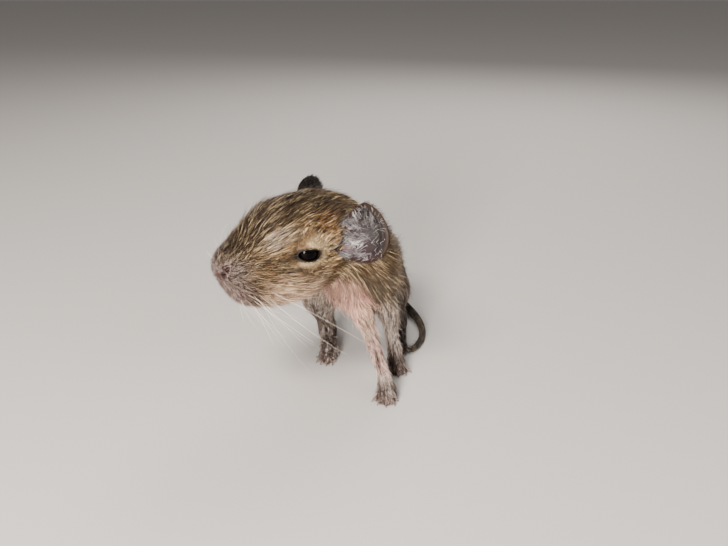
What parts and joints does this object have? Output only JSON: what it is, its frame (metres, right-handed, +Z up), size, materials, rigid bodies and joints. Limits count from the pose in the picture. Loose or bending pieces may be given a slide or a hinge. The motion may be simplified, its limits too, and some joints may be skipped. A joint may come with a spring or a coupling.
{
  "type": "young degu still model",
  "caption": "Life-size still model of a degu pup standing on four feet, its head turned to its own right and its tail curled round on the floor.",
  "frame": {"origin": "middle of the model's footprint box, on the floor it stands on", "axes": "+Z up; the animal faces -Y, its own left side is +X and its rump points to +Y"},
  "size_m": [0.048, 0.0594, 0.0452],
  "materials": {
    "head_fur": "short streaky agouti fur",
    "body_fur": "short olive-brown fur with grey flanks",
    "tail_fur": "short black hair on dark skin",
    "foreleg_skin": "sparse pale hair over pink skin",
    "leg_fur": "short grey fur",
    "ear_skin": "thin dark mauve skin with white hairs",
    "eye": "wet black"
  },
  "bodies": {
    "root": {"head": "head_fur", "neck": "body_fur", "torso": "body_fur", "tail": "tail_fur", "foreleg_right": "foreleg_skin", "foreleg_left": "leg_fur", "hindleg_right": "leg_fur", "hindleg_left": "leg_fur", "ear_left": "ear_skin", "ear_right": "ear_skin", "eye_left": "eye", "eye_right": "eye"}
  },
  "joints": []
}
